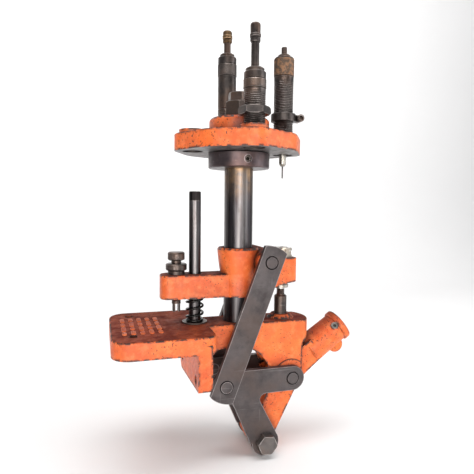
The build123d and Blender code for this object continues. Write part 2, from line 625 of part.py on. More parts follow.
def thumb_screw():
    fork_top = SCREW_FORK_BOTTOM_Z + SCREW_FORK_LENGTH
    profile = [(0, SCREW_FORK_BOTTOM_Z), (SCREW_R, SCREW_FORK_BOTTOM_Z), (SCREW_R, RING_TOP_Z + SIDE_GAP),
               (SCREW_NECK_R, RING_TOP_Z + SIDE_GAP), (SCREW_NECK_R, SCREW_HEAD_BOTTOM_Z),
               (SCREW_HEAD_R - 1.2, SCREW_HEAD_BOTTOM_Z), (SCREW_HEAD_R, SCREW_HEAD_BOTTOM_Z + 1.2),
               (SCREW_HEAD_R, SCREW_TOP_Z - 1.2), (SCREW_HEAD_R - 1.2, SCREW_TOP_Z), (0, SCREW_TOP_Z)]
    screw = turned(profile, SCREW_X)
    slot_middle = (SCREW_FORK_BOTTOM_Z - 1 + fork_top) / 2
    slot_height = fork_top - SCREW_FORK_BOTTOM_Z + 1
    screw -= Pos(SCREW_X, 0, slot_middle) * Box(SCREW_FORK_SLOT, 4 * SCREW_R, slot_height)
    for side in (-1, 1):
        edge = SCREW_R - SCREW_FORK_FLAT
        screw -= Pos(SCREW_X + side * (edge + 5), 0, slot_middle) * Box(10, 4 * SCREW_R, slot_height)
    return screw


# ---- links and lever ----------------------------------------------------------------------------
def link_face(top_reach):
    """Flat bar along X from pivot A to pivot C, with shallow curved ends."""
    low_end = -LINK_LENGTH / 2 - LINK_REACH
    high_end = LINK_LENGTH / 2 + top_reach
    bar = Pos((low_end + high_end) / 2, 0) * Rectangle(high_end - low_end, 2 * LINK_HALF_WIDTH)
    low_curve = Pos(low_end + LINK_END_CURVE_R, 0) * Circle(LINK_END_CURVE_R)
    high_curve = Pos(high_end - LINK_END_CURVE_R, 0) * Circle(LINK_END_CURVE_R)
    middle = Rectangle(LINK_LENGTH - LINK_END_CURVE_R, 4 * LINK_HALF_WIDTH)
    return fillet((bar & (low_curve + middle + high_curve)).vertices(), LINK_CORNER_R)


def bevel_pin_holes(plate, outer_y, beyond_x=-1000.0):
    """Bevel the pin holes on a plate's outer face, as far as they lie beyond an X."""
    rims = plate.edges().filter_by(GeomType.CIRCLE).filter_by_position(Axis.Y, outer_y - 0.01, outer_y + 0.01)
    holes = [rim for rim in rims if abs(rim.radius - PIVOT_PIN_R) < 0.5 and rim.arc_center.X > beyond_x]
    return chamfer(holes, PIN_HOLE_CHAMFER)


def link(side):
    """Flat bar from pivot C down to pivot A."""
    middle = ((PIVOT_A_X + PIVOT_C_X) / 2, (PIVOT_A_Z + PIVOT_C_Z) / 2)
    face = link_face(FAR_LINK_TOP_REACH if side > 0 else LINK_REACH)
    low, high = sorted((side * LINK_INNER_Y, side * LINK_OUTER_Y))
    plate = side_plate(Pos(*middle) * Rot(0, 0, LINK_ANGLE + 180) * face, low, high)
    plate -= crosswise(PIVOT_PIN_R + RUNNING_CLEARANCE, PIVOT_C_X, PIVOT_C_Z, low - 1, high + 1)
    plate -= crosswise(PIVOT_PIN_R, PIVOT_A_X, PIVOT_A_Z, low - 1, high + 1)
    return bevel_pin_holes(plate, side * LINK_OUTER_Y)


def link_pin(side):
    """Outer half of the pin at pivot A, in the link."""
    low, high = sorted((side * LINK_INNER_Y, side * (LINK_OUTER_Y + PIN_HEAD_PROUD)))
    return crosswise(PIVOT_PIN_R, PIVOT_A_X, PIVOT_A_Z, low, high)


def toggle_pin_end(side):
    """Inner half of the pin at pivot A, in the toggle plate."""
    low, high = sorted((side * TOGGLE_INNER_Y, side * TOGGLE_OUTER_Y))
    return crosswise(PIVOT_PIN_R, PIVOT_A_X, PIVOT_A_Z, low, high)


def toggle_face():
    """Three-armed plate: a level arm from A to B, and a leg down to the bolt at E."""
    level_arm = stretched(disc(TOGGLE_ARM_R, PIVOT_A_X, PIVOT_A_Z), disc(TOGGLE_ARM_R, PIVOT_B_X, PIVOT_B_Z))
    leg = outline(*TOGGLE_LEG_CORNERS)
    foot = disc(TOGGLE_FOOT_R, PIVOT_E_X, PIVOT_E_Z)
    face = level_arm + leg + foot
    under_b = PIVOT_B_Z - TOGGLE_ARM_R
    inner = [v for v in face.vertices() if abs(v.Y - under_b) < 0.5 and 10 < v.X < 30]
    return fillet(inner, TOGGLE_INNER_CORNER_R) if inner else face


def toggle_plate(side):
    low, high = sorted((side * TOGGLE_INNER_Y, side * TOGGLE_OUTER_Y))
    plate = side_plate(toggle_face(), low, high)
    for x, z in ((PIVOT_A_X, PIVOT_A_Z), (PIVOT_B_X, PIVOT_B_Z), (PIVOT_E_X, PIVOT_E_Z)):
        plate -= crosswise(PIVOT_PIN_R, x, z, low - 1, high + 1)
    return bevel_pin_holes(plate, side * TOGGLE_OUTER_Y, beyond_x=PIVOT_B_X - 5)


def lever_pivot_pin():
    end = TOGGLE_OUTER_Y + PIN_HEAD_PROUD
    pin = crosswise(PIVOT_PIN_R, PIVOT_B_X, PIVOT_B_Z, -end, end)
    return chamfer(pin.edges().filter_by(GeomType.CIRCLE), 0.6)


def toggle_hexagon(y_low, y_high):
    prism = hexagon(TOGGLE_BOLT_FLATS, y_low, y_high, angle=8)
    return Pos(PIVOT_E_X, 0, PIVOT_E_Z) * Rot(-90, 0, 0) * prism


def toggle_bolt():
    tail = TOGGLE_OUTER_Y + TOGGLE_NUT_HEIGHT + TOGGLE_BOLT_TAIL
    shank = crosswise(PIVOT_PIN_R, PIVOT_E_X, PIVOT_E_Z, -TOGGLE_OUTER_Y, tail)
    return shank + toggle_hexagon(-TOGGLE_OUTER_Y - TOGGLE_BOLT_HEAD, -TOGGLE_OUTER_Y)


def toggle_nut():
    high = TOGGLE_OUTER_Y + TOGGLE_NUT_HEIGHT
    return toggle_hexagon(TOGGLE_OUTER_Y, high) - crosswise(PIVOT_PIN_R, PIVOT_E_X, PIVOT_E_Z, 0, high + 1)


def socket_screw_solid(radius, inner, outer):
    """Cylinder on the radial line of the socket's set screw, between two distances from its axis."""
    x, z = along_socket(SOCKET_SCREW_ALONG)
    turn = Rot(0, -SOCKET_ANGLE, 0) * Rot(90 - SOCKET_SCREW_TILT, 0, 0)
    return Pos(x, 0, z) * turn * Pos(0, 0, (inner + outer) / 2) * Cylinder(radius, outer - inner)


def lever_casting():
    """Hub and web between the toggle plates, with the handle socket in front."""
    arm = stretched(disc(LEVER_HUB_R, PIVOT_B_X, PIVOT_B_Z), disc(LEVER_WEB_END_R, PIVOT_E_X, PIVOT_E_Z))
    web = outline((PIVOT_E_X + 12.0, PIVOT_E_Z - 5.0), (WEB_HEEL_X, WEB_HEEL_Z),
                  along_socket(SOCKET_ROOT + 8, -11.0),
                  along_socket(SOCKET_ROOT + 8, 14.5), along_socket(0, LEVER_HUB_R - 0.5),
                  (PIVOT_B_X, PIVOT_B_Z))
    body = side_plate(arm + web, -LEVER_HALF_WIDTH, LEVER_HALF_WIDTH)
    body += crosswise(LEVER_FOOT_R, PIVOT_E_X, PIVOT_E_Z, -TOGGLE_INNER_Y, TOGGLE_INNER_Y)
    rim_start = SOCKET_LENGTH - SOCKET_RIM_LENGTH
    tube = socket_solid(SOCKET_ROOT_R, SOCKET_ROOT, rim_start + 1, SOCKET_R)
    tube = fillet(tube.edges().filter_by(GeomType.CIRCLE).sort_by(Axis.X)[0], 3.0)
    rim = socket_solid(SOCKET_RIM_R, rim_start, SOCKET_LENGTH)
    rim = fillet(rim.edges().filter_by(GeomType.CIRCLE), 1.8)
    lug_x, lug_z = along_socket(SOCKET_LUG_ALONG, -SOCKET_LUG_OFFSET)
    lug = crosswise(SOCKET_LUG_R, lug_x, lug_z, -SOCKET_LUG_HALF_WIDTH, SOCKET_LUG_HALF_WIDTH)
    lug = fillet(lug.edges().filter_by(GeomType.CIRCLE), 2.0)
    body += tube + rim + lug
    body -= socket_solid(SOCKET_BORE_R, SOCKET_LENGTH - SOCKET_BORE_DEPTH, SOCKET_LENGTH + 1)
    body -= crosswise(PIVOT_PIN_R, PIVOT_B_X, PIVOT_B_Z, -40, 40)
    body -= crosswise(PIVOT_PIN_R, PIVOT_E_X, PIVOT_E_Z, -40, 40)
    return body - socket_screw_solid(SOCKET_SCREW_R, SOCKET_BORE_R - 2, SOCKET_RIM_R + 6)


def socket_set_screw():
    inner = SOCKET_BORE_R + 0.4
    outer = SOCKET_R - 0.6
    screw = socket_screw_solid(SOCKET_SCREW_R, inner, outer)
    return screw - socket_screw_solid(SOCKET_SCREW_R * 0.5, outer - 2.5, outer + 1)


# ---- turret -----------------------------------------------------------------------------------
def station_place(name):
    """Centre of a turret station: front is at -Y, right is at +X, over the punch post."""
    places = {"front": (0, -1), "right": (1, 0), "back": (0, 1), "left": (-1, 0)}
    x, y = places[name]
    return x * STATION_RADIUS, y * STATION_RADIUS


def turret_head():
    corners = [disc(STATION_CORNER_R, *station_place(name)) for name in ("front", "right", "back", "left")]
    diagonal = (RIM_BETWEEN_R - RIM_BETWEEN_CURVE_R) / math.sqrt(2)
    corners += [disc(RIM_BETWEEN_CURVE_R, x * diagonal, y * diagonal) for x in (-1, 1) for y in (-1, 1)]
    rim = Pos(0, 0, TURRET_BOTTOM_Z) * extrude(stretched(*corners), TURRET_RIM_TOP_Z - TURRET_BOTTOM_Z)
    rim = soften(rim, CAST_EDGE_RADIUS, TURRET_RIM_TOP_Z)
    hub = upright(HUB_R, TURRET_RIM_TOP_Z - 4, HUB_TOP_Z)
    hub = fillet(hub.edges().filter_by(GeomType.CIRCLE).sort_by(Axis.Z)[-1], HUB_EDGE_RADIUS)
    body = rim + hub
    for name in ("front", "right", "back", "left"):
        x, y = station_place(name)
        body += upright(STATION_PAD_R, TURRET_RIM_TOP_Z - 4, PAD_TOP_Z, x, y)
    for name in ("front", "right", "back", "left"):
        x, y = station_place(name)
        body -= upright(STATION_THREAD_R, TURRET_BOTTOM_Z - 1, HUB_TOP_Z, x, y)
    body -= upright(SPINDLE_R + RUNNING_CLEARANCE, TURRET_BOTTOM_Z - 1, HUB_TOP_Z + 1)
    ball_x, ball_y = index_pocket_place()
    for quarter in range(4):
        dimple = Pos(ball_x, ball_y, TURRET_BOTTOM_Z - 1.5) * Sphere(INDEX_BALL_R)
        body -= Rot(0, 0, 90 * quarter) * dimple
    return body


def die_body(name, thread_top_z, knurl_low_z, knurl_high_z, top_z):
    """Hollow die: threaded below, a knurled band, a smooth top, and a cavity open at the bottom."""
    x, y = station_place(name)
    bore_r = STEM_R + RUNNING_CLEARANCE
    r = STATION_THREAD_R
    bottom = TURRET_BOTTOM_Z + 1
    profile = [(DIE_CAVITY_R, bottom), (r, bottom), (r, thread_top_z - 1.2)]
    profile += [(r - DIE_NECK_GROOVE, thread_top_z - 0.8), (r - DIE_NECK_GROOVE, thread_top_z)]
    profile += [(r + DIE_KNURL_PROUD, max(knurl_low_z, thread_top_z) + 0.4),
                (r + DIE_KNURL_PROUD, knurl_high_z - 0.4)]
    profile += [(r - 0.1, knurl_high_z), (r - 0.1, top_z - 1.0), (r - 1.1, top_z)]
    profile += [(bore_r, top_z), (bore_r, DIE_CAVITY_TOP_Z + 3), (DIE_CAVITY_R, DIE_CAVITY_TOP_Z)]
    return turned(profile, x, y)


def die_cap(name, radius, z_low, z_high, stem_r):
    """Lock nut round the stem on top of the die."""
    x, y = station_place(name)
    bore_r = stem_r + RUNNING_CLEARANCE
    profile = [(bore_r, z_low), (radius, z_low), (radius, z_high - 1.3), (radius - 1.8, z_high), (bore_r, z_high)]
    return turned(profile, x, y)


def hex_lock_ring(name, z_low, z_high, angle):
    x, y = station_place(name)
    ring = hexagon(LOCK_RING_FLATS, z_low, z_high, x, y, angle)
    return ring - upright(STATION_THREAD_R, z_low - 1, z_high + 1, x, y)


def die_stem(name, radius, z_top):
    x, y = station_place(name)
    profile = [(0, STEM_FOOT_Z), (STEM_R, STEM_FOOT_Z)]
    if radius < STEM_R:
        step = RIGHT_BODY_TOP_Z - 2.0
        profile += [(STEM_R, step), (radius, step)]
    profile += [(radius, z_top - 0.6), (radius - 0.6, z_top), (0, z_top)]
    return turned(profile, x, y)


def stem_knob(name, radius, z_low, waist_z, z_high):
    """Thumb knob: a ring at the foot, a waist, a knurled middle and a domed top."""
    profile = [(0, z_low), (STEM_R + 0.6, z_low), (radius - 0.5, z_low + 1.2), (radius - 0.5, z_low + 3.6),
               (radius - 1.1, z_low + 4.3), (radius, z_low + 5.2), (radius, waist_z),
               (radius - 0.5, waist_z + 0.7), (radius - 0.5, z_high - 2.6), (radius - 1.6, z_high - 0.7),
               (radius - 3.4, z_high), (0, z_high)]
    return turned(profile, *station_place(name))


# ---- the right-hand die, with its split ring and knockout pin --------------------------------------


def split_lock_ring():
    """Round ring with a sawn split and a flat lug for its clamp screw."""
    x, y = station_place("right")
    middle_z = (RIGHT_RING_LOW_Z + RIGHT_RING_HIGH_Z) / 2
    height = RIGHT_RING_HIGH_Z - RIGHT_RING_LOW_Z
    ring = upright(RIGHT_RING_R, RIGHT_RING_LOW_Z, RIGHT_RING_HIGH_Z, x, y)
    ring = chamfer(ring.edges().filter_by(GeomType.CIRCLE), 0.7)
    middle_x = x + RING_LUG_REACH / 2
    ring += Pos(middle_x, y, middle_z) * Box(RING_LUG_REACH, 2 * RING_LUG_HALF_WIDTH, height - 1.4)
    ring -= Pos(x + RING_LUG_REACH, y, middle_z) * Box(RING_LUG_REACH, SPLIT_WIDTH, height + 2)
    return ring - upright(STATION_THREAD_R, RIGHT_RING_LOW_Z - 1, RIGHT_RING_HIGH_Z + 1, x, y)


def ring_clamp_screw():
    """Knurled screw head that closes the split ring, against the lug's near side."""
    x, y = station_place("right")
    middle_z = (RIGHT_RING_LOW_Z + RIGHT_RING_HIGH_Z) / 2
    face_y = y - RING_LUG_HALF_WIDTH
    return crosswise(RING_SCREW_R, x + RING_SCREW_OFFSET, middle_z, face_y - RING_SCREW_HEAD, face_y)


def pin_chuck():
    x, y = station_place("right")
    profile = [(0, CHUCK_BOTTOM_Z), (CHUCK_R - 1.6, CHUCK_BOTTOM_Z), (CHUCK_R, CHUCK_BOTTOM_Z + 2.4),
               (CHUCK_R, CHUCK_TOP_Z + 6), (STEM_R - 0.6, CHUCK_TOP_Z + 8), (STEM_R - 0.6, STEM_FOOT_Z),
               (0, STEM_FOOT_Z)]
    return turned(profile, x, y) - upright(KNOCKOUT_PIN_R, 0, CHUCK_BOTTOM_Z + 10, x, y)


def knockout_pin():
    x, y = station_place("right")
    return upright(KNOCKOUT_PIN_R, KNOCKOUT_PIN_BOTTOM_Z, CHUCK_BOTTOM_Z + 10, x, y)


# ---- write every piece ----------------------------------------------------------------------------
export("base_casting", base_casting())
export("column", column())
export("turret_collar", turret_collar())
export("collar_set_screw", collar_set_screw())
export("index_ball", index_ball())
export("index_spring", index_spring())
export("guide_rod", guide_rod())
export("spring_washer", spring_washer())
export("bumper_spring", bumper_spring())
export("punch_post", punch_post())
export("turret_nut", turret_nut())
export("turret_jam_nut", turret_jam_nut())

export("carrier_casting", carrier_casting())
export("link_cross_pin", link_cross_pin())
export("work_holder", work_holder())
export("holder_ring", holder_ring())
export("screw_lock_ring", screw_lock_ring())
export("thumb_screw", thumb_screw())

export("lever_casting", lever_casting())
export("lever_pivot_pin", lever_pivot_pin())
export("toggle_bolt", toggle_bolt())
export("toggle_nut", toggle_nut())
export("socket_set_screw", socket_set_screw())
export("toggle_pin_ends", toggle_pin_end(-1), toggle_pin_end(1))
for side, word in ((-1, "near"), (1, "far")):
    export(f"toggle_plate_{word}", toggle_plate(side))
    export(f"link_{word}", link(side))
    export(f"link_pin_{word}", link_pin(side))

export("turret_head", turret_head())
export("front_die_body", die_body("front", FRONT_THREAD_TOP_Z, FRONT_THREAD_TOP_Z,
                                  FRONT_KNURL_TOP_Z, FRONT_BODY_TOP_Z))
export("front_die_cap", die_cap("front", FRONT_CAP_R, FRONT_BODY_TOP_Z, FRONT_CAP_TOP_Z, STEM_R))
export("front_lock_ring", hex_lock_ring("front", FRONT_RING_LOW_Z, FRONT_RING_LOW_Z + HEX_RING_HEIGHT, 42))
export("front_stem", die_stem("front", STEM_R, FRONT_STEM_TOP_Z))
export("front_stem_knob", stem_knob("front", FRONT_KNOB_R, FRONT_STEM_TOP_Z, FRONT_KNOB_WAIST_Z, FRONT_KNOB_TOP_Z))
export("back_die_body", die_body("back", BACK_THREAD_TOP_Z, BACK_KNURL_LOW_Z, BACK_KNURL_TOP_Z, BACK_BODY_TOP_Z))
export("back_die_cap", die_cap("back", BACK_CAP_R, BACK_BODY_TOP_Z, BACK_CAP_TOP_Z, STEM_R))
export("back_lock_ring", hex_lock_ring("back", PAD_TOP_Z, PAD_TOP_Z + HEX_RING_HEIGHT, 0))
export("back_stem", die_stem("back", STEM_R, BACK_STEM_TOP_Z))
export("back_stem_knob", stem_knob("back", BACK_KNOB_R, BACK_STEM_TOP_Z, BACK_KNOB_WAIST_Z, BACK_KNOB_TOP_Z))
export("right_die_body", die_body("right", RIGHT_THREAD_TOP_Z, RIGHT_THREAD_TOP_Z,
                                  RIGHT_KNURL_TOP_Z, RIGHT_BODY_TOP_Z))
export("right_die_cap", die_cap("right", RIGHT_CAP_R, RIGHT_BODY_TOP_Z, RIGHT_CAP_TOP_Z, RIGHT_STEM_R))
export("right_lock_ring", split_lock_ring())
export("ring_clamp_screw", ring_clamp_screw())
export("right_stem", die_stem("right", RIGHT_STEM_R, RIGHT_STEM_TOP_Z))
export("pin_chuck", pin_chuck())
export("knockout_pin", knockout_pin())
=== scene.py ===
import json
import math

import bpy
from mathutils import Matrix, Vector


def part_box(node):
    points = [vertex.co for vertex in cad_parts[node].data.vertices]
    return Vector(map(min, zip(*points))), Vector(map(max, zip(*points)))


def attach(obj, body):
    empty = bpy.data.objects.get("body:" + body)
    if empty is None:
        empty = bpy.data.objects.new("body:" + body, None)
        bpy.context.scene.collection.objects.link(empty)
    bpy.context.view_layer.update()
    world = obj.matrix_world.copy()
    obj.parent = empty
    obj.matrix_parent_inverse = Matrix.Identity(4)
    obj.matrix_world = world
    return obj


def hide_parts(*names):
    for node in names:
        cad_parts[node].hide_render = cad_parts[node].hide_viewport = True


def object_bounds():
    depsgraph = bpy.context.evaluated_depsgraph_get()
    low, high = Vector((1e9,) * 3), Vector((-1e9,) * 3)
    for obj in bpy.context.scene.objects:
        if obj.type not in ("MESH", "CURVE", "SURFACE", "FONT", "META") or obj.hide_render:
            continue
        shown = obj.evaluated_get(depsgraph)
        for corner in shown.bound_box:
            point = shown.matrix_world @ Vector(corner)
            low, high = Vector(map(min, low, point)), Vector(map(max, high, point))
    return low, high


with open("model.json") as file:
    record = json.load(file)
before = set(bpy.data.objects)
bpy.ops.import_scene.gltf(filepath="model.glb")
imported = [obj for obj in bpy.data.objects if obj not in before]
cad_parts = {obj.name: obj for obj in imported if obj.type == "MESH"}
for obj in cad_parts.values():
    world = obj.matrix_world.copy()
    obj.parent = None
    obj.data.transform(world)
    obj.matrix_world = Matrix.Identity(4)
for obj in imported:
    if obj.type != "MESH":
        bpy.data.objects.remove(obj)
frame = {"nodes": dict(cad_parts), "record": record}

# Everything is in metres in the row frame. The frame's nodes and record come from model.glb and model.json.
CAD_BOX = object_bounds()
MM = 0.001
TAU = 2 * math.pi

# ---- camera -------------------------------------------------------------------------------------
CAMERA_PLACE = (-0.0488, -0.4869, 0.146)
CAMERA_TURN = math.radians(16.7)      # from +Y towards +X
CAMERA_DIP = math.radians(3.9)
CAMERA_ROLL = math.radians(0.55)
CAMERA_LENS = 34.56

# ---- surface detail sizes -------------------------------------------------------------------------
DIE_PITCH = 1.814 * MM                # 14 threads to the inch
DIE_THREAD_DEPTH = 0.75 * MM
SCREW_PITCH = 1.27 * MM
SCREW_THREAD_DEPTH = 0.6 * MM
KNURL_DEPTH = 0.32 * MM
KNURL_PITCH = 1.3 * MM
LATHE_STEPS = 96
BAR_WIDTH = 4.6 * MM
BAR_LIFT = 1.1 * MM
BAR_SPACE = 3.5
BAR_LENGTHS = ((10, 17, 12, 16), (15, 9, 19, 12))     # even rows, odd rows
PANEL_START = -36.0
PANEL_ROWS = (-126, -117, -108, -99, -90)             # from the column's axis

# ---- sizes shared with the CAD, which the detailed pieces repeat -----------------------------------
COLUMN_R = 15.875 * MM
COLUMN_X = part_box("column")[0].x + COLUMN_R
PLATE_TOP = 18 * MM
DIE_CAVITY_R = 6.6 * MM
DIE_STEM_BORE_R = 4.1 * MM
DIE_CAVITY_TOP = 246 * MM
DIE_BANDS = {"front": (261.6, 261.6, 270.3),          # thread's top, knurl's foot, knurl's top
             "back": (262.0, 300.5, 314.0),
             "right": (291.4, 291.4, 310.1)}
KNOB_WAISTS = {"front": 314.0, "back": 348.0}
SPRING_TURNS = 3.0
SPRING_WIRE_R = 1.3 * MM
STATION_RADIUS = 52.0 * MM
STATIONS = ((COLUMN_X, -STATION_RADIUS), (COLUMN_X + STATION_RADIUS, 0.0),
            (COLUMN_X, STATION_RADIUS), (COLUMN_X - STATION_RADIUS, 0.0))
HOLE_REACH = 12.0 * MM                                # past a station hole's wall, short of its pad's edge


# ---- node helpers ---------------------------------------------------------------------------------
class Tree:
    """Shorthand for building one material's nodes."""

    def __init__(self, name):
        self.material = bpy.data.materials.new(name)
        self.material.use_nodes = True
        self.nodes = self.material.node_tree.nodes
        self.links = self.material.node_tree.links
        self.nodes.clear()
        self.shader = self.add("ShaderNodeBsdfPrincipled")
        out = self.add("ShaderNodeOutputMaterial")
        self.links.new(self.shader.outputs["BSDF"], out.inputs["Surface"])
        self.place = self.add("ShaderNodeTexCoord")

    def add(self, kind, inputs=(), **settings):
        node = self.nodes.new(kind)
        for key, value in settings.items():
            setattr(node, key, value)
        for key, value in dict(inputs).items():
            if isinstance(value, bpy.types.NodeSocket):
                self.links.new(value, node.inputs[key])
            else:
                node.inputs[key].default_value = value
        return node

    def noise(self, scale, detail=3.0, stretch=(1, 1, 1), roughness=0.55, turn=(0, 0, 0)):
        moved = self.add("ShaderNodeMapping", {"Vector": self.place.outputs["Object"], "Scale": stretch,
                                               "Rotation": turn})
        return self.add("ShaderNodeTexNoise", {"Vector": moved.outputs[0], "Scale": scale, "Detail": detail,
                                               "Roughness": roughness}).outputs["Fac"]

    def span(self, value, low, high, to_low=0.0, to_high=1.0):
        return self.add("ShaderNodeMapRange", {"Value": value, "From Min": low, "From Max": high,
                                               "To Min": to_low, "To Max": to_high}).outputs["Result"]

    def math(self, operation, a, b):
        return self.add("ShaderNodeMath", {0: a, 1: b}, operation=operation).outputs[0]

    def mix(self, amount, a, b):
        node = self.add("ShaderNodeMix", {"Factor": amount}, data_type="RGBA")
        for socket, value in ((node.inputs[6], a), (node.inputs[7], b)):
            if isinstance(value, bpy.types.NodeSocket):
                self.links.new(value, socket)
            else:
                socket.default_value = (*value, 1.0)
        return node.outputs[2]

    def edges(self, reach, low=0.60, high=0.90):
        """White along convex edges, where a short look inwards soon leaves the solid."""
        shade = self.add("ShaderNodeAmbientOcclusion", {"Distance": reach}, samples=8, inside=True,
                         only_local=True).outputs["AO"]
        return self.span(shade, low, high, 1.0, 0.0)

    # painted shade: white in corners and recesses, found by ambient occlusion
    def crevice_shade(self, distance):
        shade = self.add("ShaderNodeAmbientOcclusion", {"Distance": distance}, samples=8).outputs["AO"]
        return self.span(shade, 0.25, 0.85, 1.0, 0.0)

    def upward(self, low, high):
        normal = self.add("ShaderNodeSeparateXYZ", {0: self.place.outputs["Normal"]}).outputs["Z"]
        return self.span(normal, low, high)

    def hole_walls(self):
        """White on the upright faces inside the turret's four station holes."""
        place = self.place.outputs["Object"]
        flat = self.add("ShaderNodeVectorMath", {0: place, 1: (1, 1, 0)}, operation="MULTIPLY").outputs["Vector"]
        inside = 0.0
        for x, y in STATIONS:
            distance = self.add("ShaderNodeVectorMath", {0: flat, 1: (x, y, 0)}, operation="DISTANCE").outputs["Value"]
            inside = self.math("MAXIMUM", inside, self.math("LESS_THAN", distance, HOLE_REACH))
        upright = self.math("MULTIPLY", self.upward(-0.51, -0.50), self.upward(0.51, 0.50))
        return self.math("MULTIPLY", inside, upright)

    def bump(self, *layers):
        """Bump from (height, strength, distance) layers, one on another."""
        normal = None
        for height, strength, distance in layers:
            inputs = {"Height": height, "Strength": strength, "Distance": distance}
            if normal is not None:
                inputs["Normal"] = normal
            normal = self.add("ShaderNodeBump", inputs).outputs[0]
        self.links.new(normal, self.shader.inputs["Normal"])

    def finish(self, colour, roughness, metallic):
        for name, value in (("Base Color", colour), ("Roughness", roughness), ("Metallic", metallic)):
            if isinstance(value, bpy.types.NodeSocket):
                self.links.new(value, self.shader.inputs[name])
            elif name == "Base Color":
                self.shader.inputs[name].default_value = (*value, 1.0)
            else:
                self.shader.inputs[name].default_value = value
        return self.material


# ---- materials --------------------------------------------------------------------------------------
def worn_enamel(name="orange_enamel", top_shade_most=0.96, bare_below=False, lips=1.0, corner_shade_reach=0.013,
                wear=1.0):
    """Orange enamel over sand-cast iron: chipped edges, painted shade in corners and painted shade on top faces."""
    t = Tree(name)
    patches = t.span(t.noise(24, 5), 0.34, 0.66)
    colour = t.mix(patches, (0.55, 0.078, 0.013), (0.79, 0.155, 0.026))
    mottle = t.span(t.noise(130, 6, roughness=0.65), 0.48, 0.66, 0.0, 0.42)
    colour = t.mix(mottle, colour, (0.82, 0.25, 0.080))
    film = t.span(t.noise(70, 6, roughness=0.7), 0.46, 0.66, 0.0, 0.34)
    colour = t.mix(film, colour, (0.30, 0.050, 0.018))
    # painted shade: faces that look upwards are darkened to a dark red-brown, broken up by noise; the same mask lowers
    # the specular level and raises roughness
    painted_top_shade = t.math("MULTIPLY", t.upward(0.5, 0.92),
                   t.span(t.noise(48, 6, roughness=0.7), 0.34, 0.60, 0.66, top_shade_most))
    colour = t.mix(painted_top_shade, colour, (0.085, 0.013, 0.009))
    # painted shade: corners and recesses darkened to near black, broken up by noise
    painted_corner_shade = t.math("MULTIPLY", t.crevice_shade(corner_shade_reach), t.span(t.noise(90, 3), 0.3, 0.6, 0.6, 1.0))
    colour = t.mix(painted_corner_shade, colour, (0.030, 0.011, 0.007))
    clusters = t.span(t.noise(28, 3), 0.40, 0.56)
    specks = t.math("MULTIPLY", t.span(t.noise(430, 2), 0.625, 0.655), clusters)
    colour = t.mix(t.math("MULTIPLY", specks, 0.9), colour, (0.025, 0.012, 0.009))
    lip = t.math("MULTIPLY", t.math("MULTIPLY", t.upward(0.22, 0.40), lips), t.upward(0.97, 0.84))
    edges = t.math("MAXIMUM", t.edges(0.0030, 0.70, 0.96), lip)
    edges = t.math("MULTIPLY", edges, wear)
    chips = t.math("MULTIPLY", edges, t.span(t.noise(150, 6, roughness=0.7), 0.43, 0.52))
    big_chips = t.span(t.noise(62, 7, roughness=0.75), 0.655, 0.67)
    bare = t.math("MAXIMUM", chips, big_chips)
    colour = t.mix(bare, colour, (0.026, 0.016, 0.013))
    rough = t.span(t.noise(200, 3), 0.3, 0.7, 0.34, 0.56)
    rough = t.math("ADD", rough, t.math("MULTIPLY", painted_top_shade, 0.34))
    t.links.new(t.span(painted_top_shade, 0.0, 1.0, 0.42, 0.06), t.shader.inputs["Specular IOR Level"])
    metal = 0.0
    if bare_below:
        under = t.upward(-0.80, -0.95)
        iron = t.mix(t.span(t.noise(90, 6), 0.35, 0.65), (0.090, 0.078, 0.076), (0.21, 0.19, 0.185))
        colour = t.mix(under, colour, iron)
        metal = t.math("MULTIPLY", under, 0.6)
        hole = t.hole_walls()
        oxide = t.mix(t.span(t.noise(48, 6, roughness=0.65), 0.34, 0.68), (0.034, 0.029, 0.028), (0.105, 0.088, 0.080))
        colour = t.mix(hole, colour, oxide)
        metal = t.math("MAXIMUM", metal, t.math("MULTIPLY", hole, 0.85))
    t.bump((t.noise(330, 5), 0.38, 0.0008), (t.noise(60, 3), 0.25, 0.0015))
    return t.finish(colour, rough, metal)


def ground_shaft(name="ground_shaft", dark_above=1.0):
    """Ground steel with drawn streaks, broad bands of painted dark reflection and a rusty upper end."""
    t = Tree(name)
    streaks = t.span(t.noise(420, 4, stretch=(1, 1, 0.02)), 0.36, 0.66)
    colour = t.mix(streaks, (0.048, 0.043, 0.046), (0.170, 0.158, 0.156))
    # painted reflection: broad dark upright bands stand in for dark surroundings mirrored in the steel
    painted_dark_reflection = t.span(t.noise(78, 3, stretch=(1, 1, 0.05)), 0.44, 0.60, 0.0, 0.88)
    colour = t.mix(painted_dark_reflection, colour, (0.017, 0.014, 0.017))
    stain = t.span(t.noise(60, 6, stretch=(1, 1, 0.35), roughness=0.7), 0.52, 0.70, 0.0, 0.8)
    colour = t.mix(stain, colour, (0.050, 0.032, 0.028))
    height = t.add("ShaderNodeSeparateXYZ", {0: t.place.outputs["Object"]}).outputs["Z"]
    rust = t.math("MULTIPLY", t.span(height, 0.150, 0.186),
                  t.span(t.noise(95, 6, roughness=0.7), 0.36, 0.62, 0.1, 0.9))
    colour = t.mix(rust, colour, (0.24, 0.145, 0.075))
    colour = t.mix(t.span(height, dark_above, dark_above + 0.0008), colour, (0.010, 0.008, 0.008))
    rough = t.span(t.noise(300, 4, stretch=(1, 1, 0.04)), 0.3, 0.7, 0.24, 0.44)
    t.bump((streaks, 0.12, 0.0002))
    return t.finish(colour, rough, 0.92)


